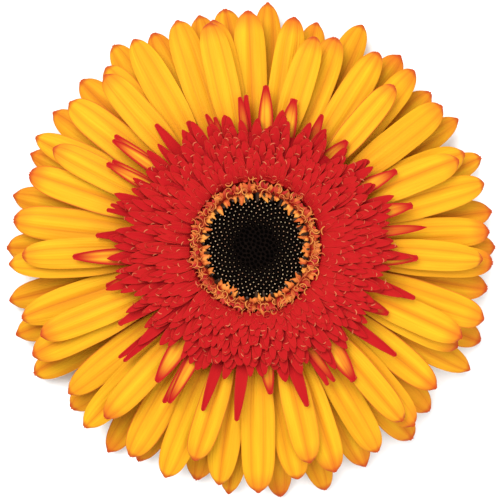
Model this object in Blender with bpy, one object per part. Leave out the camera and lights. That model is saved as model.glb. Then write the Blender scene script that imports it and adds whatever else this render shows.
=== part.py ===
"""A gerbera flower head, as picked: cut just below the bloom and lying face up on its cut end.

The origin is the centre of the flat cut, and +Z is the way the flower looks. Every floret stands on
the receptacle, which is the solid top of the stalk. The ray florets sit in whorls, one above another,
and each whorl is a collar with its blades rooted in it. Lengths are in metres, heights along +Z.
"""

import math
import random
from collections import namedtuple

import bmesh
import bpy
from mathutils import Vector

FULL_TURN = 2 * math.pi

# Driving dimensions
CLEARANCE = 0.0003            # between neighbouring pieces
BLADE = 0.00062               # thickness of every petal and bract
BLOOM_SHIFT = Vector((-0.0011, -0.0007))  # how far the outline's middle lies from the disc's

STALK_RADIUS = 0.0036
RECEPTACLE_TOP = 0.0112       # height of the flat top that carries the florets
DISC_RADIUS = 0.0105          # closed buds
RING_INNER, RING_OUTER = 0.0109, 0.0132     # open disc florets
COLLAR_INNER, COLLAR_OUTER = 0.0136, 0.0164  # roots of the petals
COLLAR_HEIGHT = 0.0010
COLLAR_SIDES = 34
# Undersides of the stacked collars from the lowest up, and last that of the red florets' core
LEVELS = [RECEPTACLE_TOP + CLEARANCE + n * (COLLAR_HEIGHT + CLEARANCE) for n in range(5)]
ROOT_RADIUS = 0.0148          # where a petal starts, inside its collar
ROOT_HEIGHT = 0.00083         # of a petal's upper face over its collar's underside

PETAL_ROOT_WIDTH = 0.34       # as a share of the petal's greatest width
PETAL_WIDEST = 0.6            # where along its length a petal is widest
PETAL_END = 1.005             # where its two edges would meet, just past the tip
PETAL_BLUNTNESS = 4.4         # how square the tip is, where 2 gives half an ellipse
PETAL_CAMBER = 0.0003         # edges of a petal lie this much lower than its middle
ROW_CROWDING = 1.8            # over 1, a petal's cross rows crowd together towards the tip
TIP_ROUNDING = 0.015          # how far a tip's corners fall back, as a share of the length
STRAP_TAPER = 0.25            # how much narrower a strap is at its root than at its middle
STRAP_END, STRAP_BLUNTNESS = 1.02, 4.5
ROOT_STEP = 0.3               # how much of a whorl's step is there already at the roots
MIDDLE_STEP = 1.3             # and how far it overshoots at the middle point
RED_OVAL = 0.05               # the red florets reach further to the left and right

# Colours (linear), roughness
YELLOW = (0.86, 0.42, 0.025)
RED = (0.56, 0.02, 0.02)
GOLD = (0.60, 0.24, 0.03)
NEAR_BLACK = (0.012, 0.007, 0.006)
LEAF_GREEN = (0.13, 0.25, 0.045)

# rise is the slope away from the collar, and droop how fast it falls off, in 1/m. Every second petal
# is raised by step and the others lowered, so that neighbours lie over each other without crossing.
Whorl = namedtuple("Whorl", "name level count reach spread width rise droop step drop rows seed")
WHORLS = (
    Whorl("ray_florets_back", 0, 34, 0.0542, 0.0018, 0.0074, 0.00, 4.8, 0.0005, 0.0004, 4, 11),
    Whorl("ray_florets_front", 1, 34, 0.0518, 0.0018, 0.0074, 0.10, 4.8, 0.0005, 0.0004, 4, 12),
    Whorl("ray_florets_inner", 2, 14, 0.0482, 0.0020, 0.0066, 0.20, 6.2, 0.0001, 0.0002, 4, 13),
)
TRANSITION = Whorl(
    "transition_florets", 3, 32, 0.0342, 0.0044, 0.0029, 0.28, 7.5, 0.0, 0.0001, 3, 14
)

Row = namedtuple("Row", "count root middle tip width")
# Rows of red florets, the lowest and longest first, as (radius, height) points
RED_ROWS = (
    Row(34, (0.0205, 0.0190), (0.0248, 0.0197), (0.0288, 0.0199), 0.0027),
    Row(34, (0.0205, 0.0195), (0.0240, 0.0207), (0.0272, 0.0209), 0.0027),
    Row(30, (0.0205, 0.0199), (0.0228, 0.0214), (0.0256, 0.0217), 0.0027),
)
# The short florets of the rows within those are points drawn out of the core's own surface
RED_CORE = (
    (COLLAR_INNER, LEVELS[4]), (0.0152, LEVELS[4]), (0.0240, 0.0186), (0.0240, 0.0196),
    (0.0229, 0.0203), (0.0216, 0.0207), (0.0203, 0.0209), (0.0190, 0.0210), (0.0177, 0.0210),
    (0.0164, 0.0210), (0.0151, 0.0209), (0.0141, 0.0207), (COLLAR_INNER, 0.0200),
)
RED_POINTED = range(4, 12)
RED_SIDES = 48
RED_POINT, RED_LEAN = 0.0013, 0.0011  # how far a point stands up, and leans outwards
RED_SEED = 21

BRACT_ROWS = (
    Row(12, (0.0056, 0.0050), (0.0096, 0.0042), (0.0124, 0.0074), 0.0034),
    Row(15, (0.0086, 0.0066), (0.0126, 0.0060), (0.0152, 0.0096), 0.0034),
    Row(18, (0.0118, 0.0088), (0.0153, 0.0083), (0.0175, 0.0104), 0.0034),
)
# The stalk's flat cut, its flare and the receptacle's underside, from the axis out and back to it
CUP_PROFILE = (
    (0.0, 0.0), (STALK_RADIUS, 0.0), (0.0037, 0.0022), (0.0058, 0.0036), (0.0096, 0.0055),
    (0.0132, 0.0084), (0.0156, 0.0106), (0.0160, RECEPTACLE_TOP), (0.0, RECEPTACLE_TOP),
)
CUP_SIDES = 32
BRACT_SEED = 31

RING_TOP = 0.0190
RING_SIDES = 32
RING_BUMP = 0.0006
FLORET_COUNT = 30
FLORET_PLACE = 0.0120         # radius of the circle they stand on
FLORET_FOOT, FLORET_MOUTH = 0.00050, 0.00090
FLORET_LENGTH, FLORET_TOP = 0.0028, 0.0207
FLORET_SEED = 41

DISC_CENTRE_TOP, DISC_EDGE_TOP = 0.0180, 0.0192
DISC_RINGS = 10
DISC_SIDES = 36
BUD_HEIGHT = 0.0006


def material(name, colour, roughness):
    """A Principled material of one plain colour."""
    made = bpy.data.materials.new(name)
    made.use_nodes = True
    shader = made.node_tree.nodes["Principled BSDF"]
    shader.inputs["Base Color"].default_value = (*colour, 1.0)
    shader.inputs["Roughness"].default_value = roughness
    shader.inputs["Metallic"].default_value = 0.0
    return made


def add_object(name, bm, collection):
    """Turn a bmesh into an object in the given collection."""
    mesh = bpy.data.meshes.new(name)
    bm.to_mesh(mesh)
    bm.free()
    made = bpy.data.objects.new(name, mesh)
    collection.objects.link(made)
    return made


def turned(profile, sides):
    """Spin a profile of (radius, height) points into one closed solid."""
    bm = bmesh.new()
    points = [bm.verts.new((radius, 0.0, height)) for radius, height in profile]
    edges = [bm.edges.new(pair) for pair in zip(points, points[1:])]
    if profile[0][0] > 0:
        edges.append(bm.edges.new((points[-1], points[0])))
    bmesh.ops.spin(
        bm, geom=points + edges, axis=(0, 0, 1), cent=(0, 0, 0),
        angle=FULL_TURN, steps=sides, use_merge=True,
    )
    bmesh.ops.remove_doubles(bm, verts=bm.verts[:], dist=1e-6)
    bmesh.ops.recalc_face_normals(bm, faces=bm.faces[:])
    return bm


def turned_relief(profile, rows, sides, height, lean=0.0):
    """A turned solid with every second corner of some rows of its surface drawn to a point."""
    bm = turned(profile, sides)
    raised, low = [], []
    for vert in bm.verts:
        radius = math.hypot(vert.co.x, vert.co.y)
        step = round(math.atan2(vert.co.y, vert.co.x) / FULL_TURN * sides)
        for row in rows:
            if math.dist((radius, vert.co.z), profile[row]) < 1e-5:
                (raised if (row + step) % 2 else low).append(vert)
                break
    bmesh.ops.connect_verts(bm, verts=low)
    for vert in raised:
        vert.co += Vector((vert.co.x, vert.co.y, 0)).normalized() * lean
        vert.co.z += height
    bmesh.ops.triangulate(bm, faces=bm.faces[:])
    return bm


def on_curve(curve, share):
    """Point and upward normal of a floret's middle line, both as (radius, height)."""
    a, b, c = (1 - share) ** 2, 2 * share * (1 - share), share ** 2
    root, middle, tip = (Vector(point) for point in curve)
    point = a * root + b * middle + c * tip
    along = (1 - share) * (middle - root) + share * (tip - middle)
    along.normalize()
    return point, Vector((-along.y, along.x))


def petal_width(share):
    """Width of a petal along its length, as a share of its widest place."""
    swell = min(share / PETAL_WIDEST, 1.0)
    body = PETAL_ROOT_WIDTH + (1 - PETAL_ROOT_WIDTH) * swell * swell * (3 - 2 * swell)
    if share <= PETAL_WIDEST:
        return body
    past = (share - PETAL_WIDEST) / (PETAL_END - PETAL_WIDEST)
    return body * math.sqrt(1 - past ** PETAL_BLUNTNESS)


def strap_width(share):
    """Width of a narrow floret, which ends in a rounded point."""
    body = 1 - STRAP_TAPER + STRAP_TAPER * math.sin(math.pi * share)
    return body * math.sqrt(1 - (share / STRAP_END) ** STRAP_BLUNTNESS)


def bract_width(share):
    """Width of a bract: widest low down, with a narrow root and a sharp tip."""
    return 0.5 + 0.5 * math.sin(math.pi * share) - 0.4 * share ** 2


def blade(curve, angle, width, columns, rows, width_along, sway=0.0, roll=0.0, camber=0.0):
    """One petal: a grid bent along its curve, split into triangles and given its thickness."""
    outwards = Vector((math.cos(angle), math.sin(angle), 0.0))
    sideways = Vector((-math.sin(angle), math.cos(angle), 0.0))
    upwards = Vector((0.0, 0.0, 1.0))
    bm = bmesh.new()
    bmesh.ops.create_grid(bm, x_segments=columns, y_segments=rows, size=0.5)
    for vert in bm.verts:
        across = -2 * vert.co.x  # so that the grid's upper face looks up
        share = 1 - (0.5 - vert.co.y) ** ROW_CROWDING
        share -= TIP_ROUNDING * across * across * share ** 6
        point, normal = on_curve(curve, share)
        half = width / 2 * width_along(share)
        lift = half * across * math.sin(roll) - camber * share * across * across
        side = half * across * math.cos(roll) + sway * share * share
        point = point + lift * normal
        vert.co = point.x * outwards + side * sideways + point.y * upwards
    bmesh.ops.triangulate(bm, faces=bm.faces[:])
    bmesh.ops.solidify(bm, geom=bm.faces[:], thickness=BLADE)
    bmesh.ops.recalc_face_normals(bm, faces=bm.faces[:])
    return bm


def joined(name, core, pieces, finish):
    """Join the core and its pieces into one solid by a Boolean union."""
    scene = bpy.context.scene.collection
    node = add_object(name, core, scene)
    node.data.materials.append(finish)
    repeats = bpy.data.collections.new(name + "_repeats")
    scene.children.link(repeats)
    for number, piece in enumerate(pieces):
        add_object(f"{name}_{number}", piece, repeats)
    union = node.modifiers.new("Union", "BOOLEAN")
    union.operation = "UNION"
    union.operand_type = "COLLECTION"
    union.collection = repeats
    union.solver = "EXACT"
    seen = node.evaluated_get(bpy.context.evaluated_depsgraph_get())
    mesh = bpy.data.meshes.new_from_object(seen)
    node.modifiers.clear()
    node.data = mesh
    for piece in list(repeats.objects):
        bpy.data.objects.remove(piece)
    bpy.data.collections.remove(repeats)
    return node


def whorl_curve(whorl, reach, drop):
    """Root, middle and tip of a ray floret, from its whorl's rise and droop."""
    base = LEVELS[whorl.level] + ROOT_HEIGHT
    run = reach - ROOT_RADIUS
    tip = base + whorl.rise * run - whorl.droop * run * run + drop
    middle = base + whorl.rise * run / 2
    return ((ROOT_RADIUS, base), (ROOT_RADIUS + run / 2, middle), (reach, tip))


def whorl_petals(whorl):
    """Curve, angle, width, sway and roll of each petal, half a place on from the whorl below."""
    draw = random.Random(whorl.seed)
    for number in range(whorl.count):
        angle = FULL_TURN * (number + whorl.level / 2 + draw.uniform(-0.12, 0.12)) / whorl.count
        facing = Vector((math.cos(angle), math.sin(angle)))
        reach = whorl.reach + draw.uniform(-1, 1) * whorl.spread + BLOOM_SHIFT.dot(facing)
        drop = draw.uniform(-whorl.drop, whorl.drop)
        width = whorl.width * draw.uniform(0.92, 1.06)
        sway = draw.uniform(-0.0014, 0.0014)
        roll = math.radians(draw.uniform(-2, 2))
        yield whorl_curve(whorl, reach, drop), angle, width, sway, roll


def stepped(curve, step):
    """Raise a petal, or lower it where step is negative, most of it outside the collar."""
    root, middle, tip = curve
    return (
        (root[0], root[1] + ROOT_STEP * step),
        (middle[0], middle[1] + MIDDLE_STEP * step),
        (tip[0], tip[1] + step),
    )


def collar(level):
    """The ring that a whorl's petals are rooted in."""
    low, high = LEVELS[level], LEVELS[level] + COLLAR_HEIGHT
    profile = (
        (COLLAR_INNER, low), (COLLAR_OUTER, low), (COLLAR_OUTER, high), (COLLAR_INNER, high),
    )
    return turned(profile, COLLAR_SIDES)


def make_whorl(whorl, columns, width_along, finish):
    pieces = []
    for number, (curve, angle, width, sway, roll) in enumerate(whorl_petals(whorl)):
        step = whorl.step if number % 2 else -whorl.step
        pieces.append(blade(
            stepped(curve, step), angle, width, columns, whorl.rows, width_along,
            sway, roll, PETAL_CAMBER,
        ))
    return joined(whorl.name, collar(whorl.level), pieces, finish)


def make_red_florets(finish):
    draw = random.Random(RED_SEED)
    pieces = []
    for level, row in enumerate(RED_ROWS):
        for number in range(row.count):
            angle = FULL_TURN * (number + level / 2 + draw.uniform(-0.25, 0.25)) / row.count
            stretch = (1 + RED_OVAL * math.cos(2 * angle)) * draw.uniform(0.96, 1.05)
            tip = (row.tip[0] * stretch, row.tip[1] + draw.uniform(-0.0002, 0.0002))
            curve = (row.root, row.middle, tip)
            pieces.append(blade(curve, angle, row.width, 1, 2, strap_width))
    core = turned_relief(RED_CORE, RED_POINTED, RED_SIDES, RED_POINT, RED_LEAN)
    return joined("red_florets", core, pieces, finish)


def make_involucre(finish):
    draw = random.Random(BRACT_SEED)
    pieces = []
    for level, row in enumerate(BRACT_ROWS):
        for number in range(row.count):
            angle = FULL_TURN * (number + level / 2 + draw.uniform(-0.1, 0.1)) / row.count
            curve = (row.root, row.middle, row.tip)
            pieces.append(blade(curve, angle, row.width, 1, 2, bract_width))
    return joined("stalk_and_involucre", turned(CUP_PROFILE, CUP_SIDES), pieces, finish)


def make_open_florets(finish):
    """The ring of open disc florets: small trumpets on a solid ring with a rough top."""
    draw = random.Random(FLORET_SEED)
    third = (RING_OUTER - RING_INNER) / 3
    profile = (
        (RING_INNER, LEVELS[0]), (RING_OUTER, LEVELS[0]), (RING_OUTER, RING_TOP),
        (RING_OUTER - third, RING_TOP), (RING_INNER + third, RING_TOP), (RING_INNER, RING_TOP),
    )
    pieces = []
    for number in range(FLORET_COUNT):
        angle = FULL_TURN * (number + draw.uniform(-0.15, 0.15)) / FLORET_COUNT
        radius = FLORET_PLACE + draw.uniform(-0.0001, 0.0001)
        top = FLORET_TOP + draw.uniform(-0.0003, 0.0003)
        bm = bmesh.new()
        bmesh.ops.create_cone(
            bm, cap_ends=True, segments=6, radius1=FLORET_FOOT, radius2=FLORET_MOUTH,
            depth=FLORET_LENGTH,
        )
        place = (radius * math.cos(angle), radius * math.sin(angle), top - FLORET_LENGTH / 2)
        bmesh.ops.translate(bm, verts=bm.verts[:], vec=place)
        pieces.append(bm)
    ring = turned_relief(profile, (3, 4), RING_SIDES, RING_BUMP)
    return joined("open_disc_florets", ring, pieces, finish)


def make_disc(finish):
    """The closed buds: a sunken dome with a raised point for each bud."""
    rim = DISC_RADIUS * 0.97
    profile = [
        (0.0, LEVELS[0]), (DISC_RADIUS, LEVELS[0]), (DISC_RADIUS, DISC_EDGE_TOP - BUD_HEIGHT),
    ]
    for number in range(DISC_RINGS, -1, -1):
        share = number / DISC_RINGS
        height = DISC_CENTRE_TOP + (DISC_EDGE_TOP - DISC_CENTRE_TOP) * share * share
        profile.append((rim * share, height))
    buds = range(3, 3 + DISC_RINGS)
    bm = turned_relief(profile, buds, DISC_SIDES, BUD_HEIGHT)
    node = add_object("disc_buds", bm, bpy.context.scene.collection)
    node.data.materials.append(finish)
    return node


def main():
    for old in list(bpy.data.objects):
        bpy.data.objects.remove(old)
    yellow = material("ray_yellow", YELLOW, 0.5)
    red = material("floret_red", RED, 0.5)
    make_involucre(material("bract_green", LEAF_GREEN, 0.6))
    for whorl in WHORLS:
        make_whorl(whorl, 2, petal_width, yellow)
    make_whorl(TRANSITION, 1, strap_width, red)
    make_red_florets(red)
    make_open_florets(material("pollen_gold", GOLD, 0.6))
    make_disc(material("bud_black", NEAR_BLACK, 0.45))


main()
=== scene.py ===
# %% [markdown]
# A gerbera is a composite flower: what looks like one bloom is several hundred small flowers, the
# florets, packed on one flat receptacle. This lesson dresses the solids of such a flower head, cut
# just below the bloom and lying face up, with finer florets of every kind. It starts by loading the
# solids as a frame, since every piece below takes its place from them.

import math
import random
from collections import namedtuple

import bmesh
import bpy
from mathutils import Matrix, Vector
from mathutils.bvhtree import BVHTree


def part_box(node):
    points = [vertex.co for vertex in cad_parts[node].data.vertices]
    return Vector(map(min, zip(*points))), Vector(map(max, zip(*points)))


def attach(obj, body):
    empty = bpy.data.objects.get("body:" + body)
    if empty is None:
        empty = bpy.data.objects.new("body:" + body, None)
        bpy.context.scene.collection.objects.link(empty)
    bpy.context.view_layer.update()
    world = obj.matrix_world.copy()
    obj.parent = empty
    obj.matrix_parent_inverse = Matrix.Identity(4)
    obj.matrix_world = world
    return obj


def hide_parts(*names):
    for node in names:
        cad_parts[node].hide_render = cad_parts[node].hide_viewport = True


FULL_TURN = 2 * math.pi
UP = Vector((0, 0, 1))


def at(radius, angle, height=0.0):
    """The point at a distance from the axis, an angle round it and a height."""
    return Vector((radius * math.cos(angle), radius * math.sin(angle), height))


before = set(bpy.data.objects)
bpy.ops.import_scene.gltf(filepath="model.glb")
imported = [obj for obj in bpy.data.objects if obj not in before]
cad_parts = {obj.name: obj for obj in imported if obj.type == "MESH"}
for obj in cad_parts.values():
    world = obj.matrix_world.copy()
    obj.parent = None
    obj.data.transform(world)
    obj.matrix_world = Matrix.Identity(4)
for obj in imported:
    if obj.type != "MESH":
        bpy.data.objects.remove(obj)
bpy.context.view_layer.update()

# %% [markdown]
# A bloom that faces up is shown best from straight above. A camera close to it would make the raised
# middle too large beside the rim, so this one stands further off and has a long lens, which keeps
# both at nearly one scale. The colours are shown as they are, so the view transform is the plain one.

# %% Camera
VIEW_CENTRE = Vector((-0.0012, -0.0007))
VIEW_WIDTH = 0.1102           # what the picture spans at the height of the petals
PETAL_PLANE = 0.008
LENS, SENSOR = 100.0, 36.0

camera = bpy.data.objects.new("camera", bpy.data.cameras.new("camera"))
camera.data.lens = LENS
camera.data.sensor_width = SENSOR
camera.data.clip_start = 0.01
camera.location = (*VIEW_CENTRE, PETAL_PLANE + VIEW_WIDTH * LENS / SENSOR)
bpy.context.scene.collection.objects.link(camera)
bpy.context.scene.camera = camera
bpy.context.scene.view_settings.view_transform = "Standard"
print(f"camera {1000 * camera.location.z:.0f} mm above the sheet")

# %% [markdown]
# A flower is lit softly in a studio, so that no petal throws a hard shadow on the next. The larger a
# lamp is, the softer its light. One large square lamp shines from the upper left, a weaker one
# stands opposite, and a white sky all round fills the gaps between petals.

# %% Lamps and sky
BLOOM_MIDDLE = Vector((0, 0, 0.01))
SKY_STRENGTH = 0.60


def soft_lamp(name, place, size, watts, colour):
    """A square lamp that looks at the flower."""
    light = bpy.data.lights.new(name, "AREA")
    light.size = size
    light.energy = watts
    light.color = colour
    lamp = bpy.data.objects.new(name, light)
    lamp.location = place
    lamp.rotation_euler = (Vector(place) - BLOOM_MIDDLE).to_track_quat("Z", "Y").to_euler()
    bpy.context.scene.collection.objects.link(lamp)
    print(f"{name}: {watts} W from a square of {size} m")


soft_lamp("key_lamp", (-0.26, 0.34, 0.80), 0.60, 9.5, (1.0, 0.99, 0.97))
soft_lamp("fill_lamp", (0.45, -0.30, 0.60), 0.80, 4.0, (0.98, 0.99, 1.0))

world = bpy.data.worlds.new("studio")
world.use_nodes = True
world.node_tree.nodes["Background"].inputs["Color"].default_value = (1.0, 1.0, 1.0, 1.0)
world.node_tree.nodes["Background"].inputs["Strength"].default_value = SKY_STRENGTH
bpy.context.scene.world = world

# %% [markdown]
# A paint here is a Principled material with a few nodes wired into it. Making every node by hand
# takes many lines, so small helpers do it. One makes any node and wires or sets its sockets. The
# others name the jobs that come up most: sums, a soft fade from 0 to 1, laying one colour over
# another, a cloudy number, and letting a number stand up from the surface as a bump.

# %% Making a paint
def new_paint(name, roughness, specular):
    """A material, its node tree and its shader."""
    paint = bpy.data.materials.new(name)
    paint.use_nodes = True
    shader = paint.node_tree.nodes["Principled BSDF"]
    shader.inputs["Roughness"].default_value = roughness
    shader.inputs["Specular IOR Level"].default_value = specular
    return paint, paint.node_tree, shader


def add(tree, kind, sockets, **settings):
    """Add a node, apply its settings, and wire or set the named input sockets."""
    made = tree.nodes.new("ShaderNode" + kind)
    for name, value in settings.items():
        setattr(made, name, value)
    for socket, value in sockets.items():
        if isinstance(value, bpy.types.NodeSocket):
            tree.links.new(value, made.inputs[socket])
        else:
            made.inputs[socket].default_value = value
    return made


def object_place(tree):
    """The place of a point in metres, in the frame that all the pieces share."""
    return add(tree, "TexCoord", {}).outputs["Object"]


# %% Sums, fades, mixes, clouds and bumps
def calc(tree, operation, first, second=0.0):
    """The result of a sum on one or two numbers."""
    return add(tree, "Math", {0: first, 1: second}, operation=operation).outputs[0]


def times(tree, first, second):
    """The product of two numbers."""
    return calc(tree, "MULTIPLY", first, second)


def fade(tree, value, start, end):
    """0 at start and 1 at end, with a soft run between."""
    sockets = {"Value": value, "From Min": start, "From Max": end}
    return add(tree, "MapRange", sockets, interpolation_type="SMOOTHSTEP").outputs["Result"]


def mix(tree, share, under, over):
    """The colour under, with a share of the colour over laid on it."""
    under, over = [
        colour if isinstance(colour, bpy.types.NodeSocket) else (*colour, 1.0)
        for colour in (under, over)
    ]
    made = add(tree, "Mix", {0: share, 6: under, 7: over}, data_type="RGBA")
    return made.outputs[2]


def noise(tree, vector, scale, detail=2.0):
    """A cloudy number between 0 and 1."""
    sockets = {"Vector": vector, "Scale": scale, "Detail": detail}
    return add(tree, "TexNoise", sockets).outputs["Fac"]


def bump(tree, shader, height, distance, strength):
    """Let a number stand up from the surface."""
    made = add(tree, "Bump", {"Height": height, "Distance": distance, "Strength": strength})
    tree.links.new(made.outputs["Normal"], shader.inputs["Normal"])


# %% [markdown]
# The flower lies on a sheet of white paper. One large square does for it, as long as its edges stay
# out of the picture. Its white is just short of full and has a very faint grain, since no paper
# throws back all the light.

# %% The sheet it lies on
SHEET_HALF = 1.5
GRAIN_LOW, GRAIN_HIGH = (0.93, 0.93, 0.93), (0.96, 0.96, 0.96)


def sheet_paint():
    """White paper with a faint grain."""
    paint, tree, shader = new_paint("white_sheet", 0.9, 0.1)
    tone = mix(tree, noise(tree, object_place(tree), 400.0), GRAIN_LOW, GRAIN_HIGH)
    tree.links.new(tone, shader.inputs["Base Color"])
    return paint


sheet_bm = bmesh.new()
bmesh.ops.create_grid(sheet_bm, x_segments=1, y_segments=1, size=SHEET_HALF)
sheet_mesh = bpy.data.meshes.new("white_sheet")
sheet_bm.to_mesh(sheet_mesh)
sheet_bm.free()
sheet_mesh.materials.append(sheet_paint())
sheet = bpy.data.objects.new("white_sheet", sheet_mesh)
bpy.context.scene.collection.objects.link(sheet)
print(f"sheet {2 * SHEET_HALF} m square")

# %% [markdown]
# Petals, small florets and bracts are all the same kind of thing: a thin strip that leaves the
# receptacle along a curve and has an outline of its own. One helper makes any of them from a grid.
# It bends the grid along a curve of three points, and leaves notes on every corner for the paint:
# where the corner is on the strip, what is special about this strip, and whether it is underneath.
# Paint that follows these notes follows each petal however it is bent, which object coordinates
# can't do.

# %% Strips
class Strips:
    """A bmesh that collects strips, with the notes for the paint on each corner."""

    def __init__(self):
        self.bm = bmesh.new()
        self.place = self.bm.verts.layers.float_vector.new("place")
        self.nature = self.bm.verts.layers.float_vector.new("nature")
        self.under = self.bm.verts.layers.float.new("under")

    def thicken(self, thickness):
        """Give the strips laid so far a lower face, and note it as such."""
        made = bmesh.ops.solidify(self.bm, geom=self.bm.faces[:], thickness=thickness)
        for item in made["geom"]:
            if isinstance(item, bmesh.types.BMVert):
                item[self.under] = 1.0


# %% Laying a strip along a curve
def on_curve(curve, share):
    """Point and upward normal on a curve of root, middle and tip, both as (radius, height)."""
    a, b, c = (1 - share) ** 2, 2 * share * (1 - share), share ** 2
    root, middle, tip = (Vector(point) for point in curve)
    point = a * root + b * middle + c * tip
    along = (1 - share) * (middle - root) + share * (tip - middle)
    along.normalize()
    return point, Vector((-along.y, along.x))


def level(across, share):
    """The relief, or the shift of the tip, of a strip that has none."""
    return 0.0


def lay_strip(
    strips, curve, angle, width, outline, cells, centre=Vector(), sway=0.0, roll=0.0,
    relief=level, tip=level, crowding=1.6, tint=0.5, nature=(0.0, 0.0, 0.0),
):
    """Lay a strip of cells = (across, along) that leaves centre at an angle along its curve."""
    outwards = at(1.0, angle)
    sideways = Vector((-math.sin(angle), math.cos(angle), 0.0))
    grid = bmesh.ops.create_grid(strips.bm, x_segments=cells[0], y_segments=cells[1], size=0.5)
    for vert in grid["verts"]:
        across = -2 * vert.co.x  # so that the grid's upper face looks up
        share = 1 - (0.5 - vert.co.y) ** crowding
        reached = share + tip(across, share)
        point, normal = on_curve(curve, reached)
        half = width / 2 * outline(share)
        point = point + (half * across * math.sin(roll) + relief(across, share)) * normal
        side = half * across * math.cos(roll) + sway * reached * reached
        vert.co = centre + point.x * outwards + side * sideways + point.y * UP
        vert[strips.place] = (0.5 + across / 2, share, tint)
        vert[strips.nature] = nature


# %% [markdown]
# A paint reads those notes back through Attribute nodes, and two helpers build on them. One gives
# fibres, which are clouds stretched along the strip and different on each. The other tells how near a
# point is to a margin. The last helper turns a finished bmesh into a piece: it shades it smooth but
# for its sharp edges, gives it its paint, fastens it to the flower head's only body, and hides the
# solids that it stands for.

# %% Reading the notes
Notes = namedtuple("Notes", "across along tint first second third under")


def read_notes(tree):
    """The place on the strip, its tint, the three numbers of its nature, and the underside."""
    place = add(tree, "Attribute", {}, attribute_name="place").outputs["Vector"]
    nature = add(tree, "Attribute", {}, attribute_name="nature").outputs["Vector"]
    under = add(tree, "Attribute", {}, attribute_name="under").outputs["Fac"]
    places = add(tree, "SeparateXYZ", {0: place}).outputs
    natures = add(tree, "SeparateXYZ", {0: nature}).outputs
    return Notes(*places, *natures, under)


def fibres(tree, notes, fine, stretch):
    """Streaks that run along a strip, and differ from one strip to the next."""
    sockets = {
        "X": times(tree, notes.across, fine),
        "Y": times(tree, notes.along, stretch),
        "Z": times(tree, notes.tint, 97.0),
    }
    return noise(tree, add(tree, "CombineXYZ", sockets).outputs[0], 1.0, 3.0)


def margins(tree, notes):
    """0 along the middle of a strip and 1 at both its margins."""
    return calc(tree, "ABSOLUTE", calc(tree, "SUBTRACT", times(tree, notes.across, 2.0), 1.0))


# %% Finishing a piece
SHARP_ANGLE = math.radians(50)


def finish_piece(bm, name, paint, replaced=()):
    """Turn a bmesh into a piece of the flower head."""
    mesh = bpy.data.meshes.new(name)
    bm.to_mesh(mesh)
    bm.free()
    mesh.materials.append(paint)
    mesh.shade_smooth()
    mesh.set_sharp_from_angle(angle=SHARP_ANGLE)
    piece = bpy.data.objects.new(name, mesh)
    bpy.context.scene.collection.objects.link(piece)
    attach(piece, "root")
    if replaced:
        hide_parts(*replaced)
    print(f"{name}: {len(mesh.polygons)} faces")


# %% [markdown]
# The yellow ray florets are what everyone calls the petals. They sit in three whorls, a long one at
# the back, one in front of it whose petals cover the gaps, and a few shorter ones. A fourth whorl,
# of narrow red florets, lies over their roots. Petals could be set one by one, but a rule with a
# little chance in it looks as natural and takes a few lines. It is the rule that the solids were
# made by, with the same seeds, so that each fine petal lies where the plain one does.

# %% Where the petals are
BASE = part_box("disc_buds")[0].z           # the underside of the lowest whorl
LEVEL_STEP = 0.0013
ROOT_RADIUS, ROOT_HEIGHT = 0.0148, 0.00083
BLOOM_SHIFT = Vector((-0.0011, -0.0007))  # the petals reach a little further to the lower left
ROOT_STEP, MIDDLE_STEP = 0.3, 1.3         # how much of its step up or down a petal has there
ANGLE_PLAY = 0.12                         # of the angle from one petal to the next
WIDTH_PLAY = (0.92, 1.06)
SWAY_PLAY = 0.0014                        # how far a tip bends sideways
ROLL_PLAY = 2                             # degrees

Whorl = namedtuple("Whorl", "node level count reach spread width rise droop step drop seed")
BACK = Whorl("ray_florets_back", 0, 34, 0.0542, 0.0018, 0.0074, 0.00, 4.8, 0.0005, 0.0004, 11)
FRONT = Whorl("ray_florets_front", 1, 34, 0.0518, 0.0018, 0.0074, 0.10, 4.8, 0.0005, 0.0004, 12)
INNER = Whorl("ray_florets_inner", 2, 14, 0.0482, 0.0020, 0.0066, 0.20, 6.2, 0.0001, 0.0002, 13)
TRANSITION = Whorl(
    "transition_florets", 3, 32, 0.0342, 0.0044, 0.0029, 0.28, 7.5, 0.0, 0.0001, 14
)


def whorl_petals(whorl):
    """Curve, angle, width, sway and roll of each petal in a whorl."""
    draw = random.Random(whorl.seed)
    base = BASE + whorl.level * LEVEL_STEP + ROOT_HEIGHT
    for number in range(whorl.count):
        place = number + whorl.level / 2 + draw.uniform(-ANGLE_PLAY, ANGLE_PLAY)
        angle = FULL_TURN * place / whorl.count
        facing = Vector((math.cos(angle), math.sin(angle)))
        reach = whorl.reach + draw.uniform(-1, 1) * whorl.spread + BLOOM_SHIFT.dot(facing)
        drop = draw.uniform(-whorl.drop, whorl.drop)
        width = whorl.width * draw.uniform(*WIDTH_PLAY)
        sway = draw.uniform(-SWAY_PLAY, SWAY_PLAY)
        roll = math.radians(draw.uniform(-ROLL_PLAY, ROLL_PLAY))
        step = whorl.step if number % 2 else -whorl.step
        run = reach - ROOT_RADIUS
        fall = whorl.droop * run * run
        curve = (
            (ROOT_RADIUS, base + ROOT_STEP * step),
            (ROOT_RADIUS + run / 2, base + whorl.rise * run / 2 + MIDDLE_STEP * step),
            (reach, base + whorl.rise * run - fall + drop + step),
        )
        yield curve, angle, width, sway, roll


for whorl in (BACK, FRONT, INNER, TRANSITION):
    print(f"{whorl.node}: {whorl.count}, reaching about {1000 * whorl.reach:.0f} mm")

# %% [markdown]
# A petal is thin as paper, yet it is stiff, because it is folded: one or two shallow grooves run along
# it. Its margins cup upwards near the root and bend down near the end, and the end is blunt, with
# three tiny teeth where three petals grew together. Each of these is a small formula of the place
# across and along the petal, so that it can differ a little from petal to petal.

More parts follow.
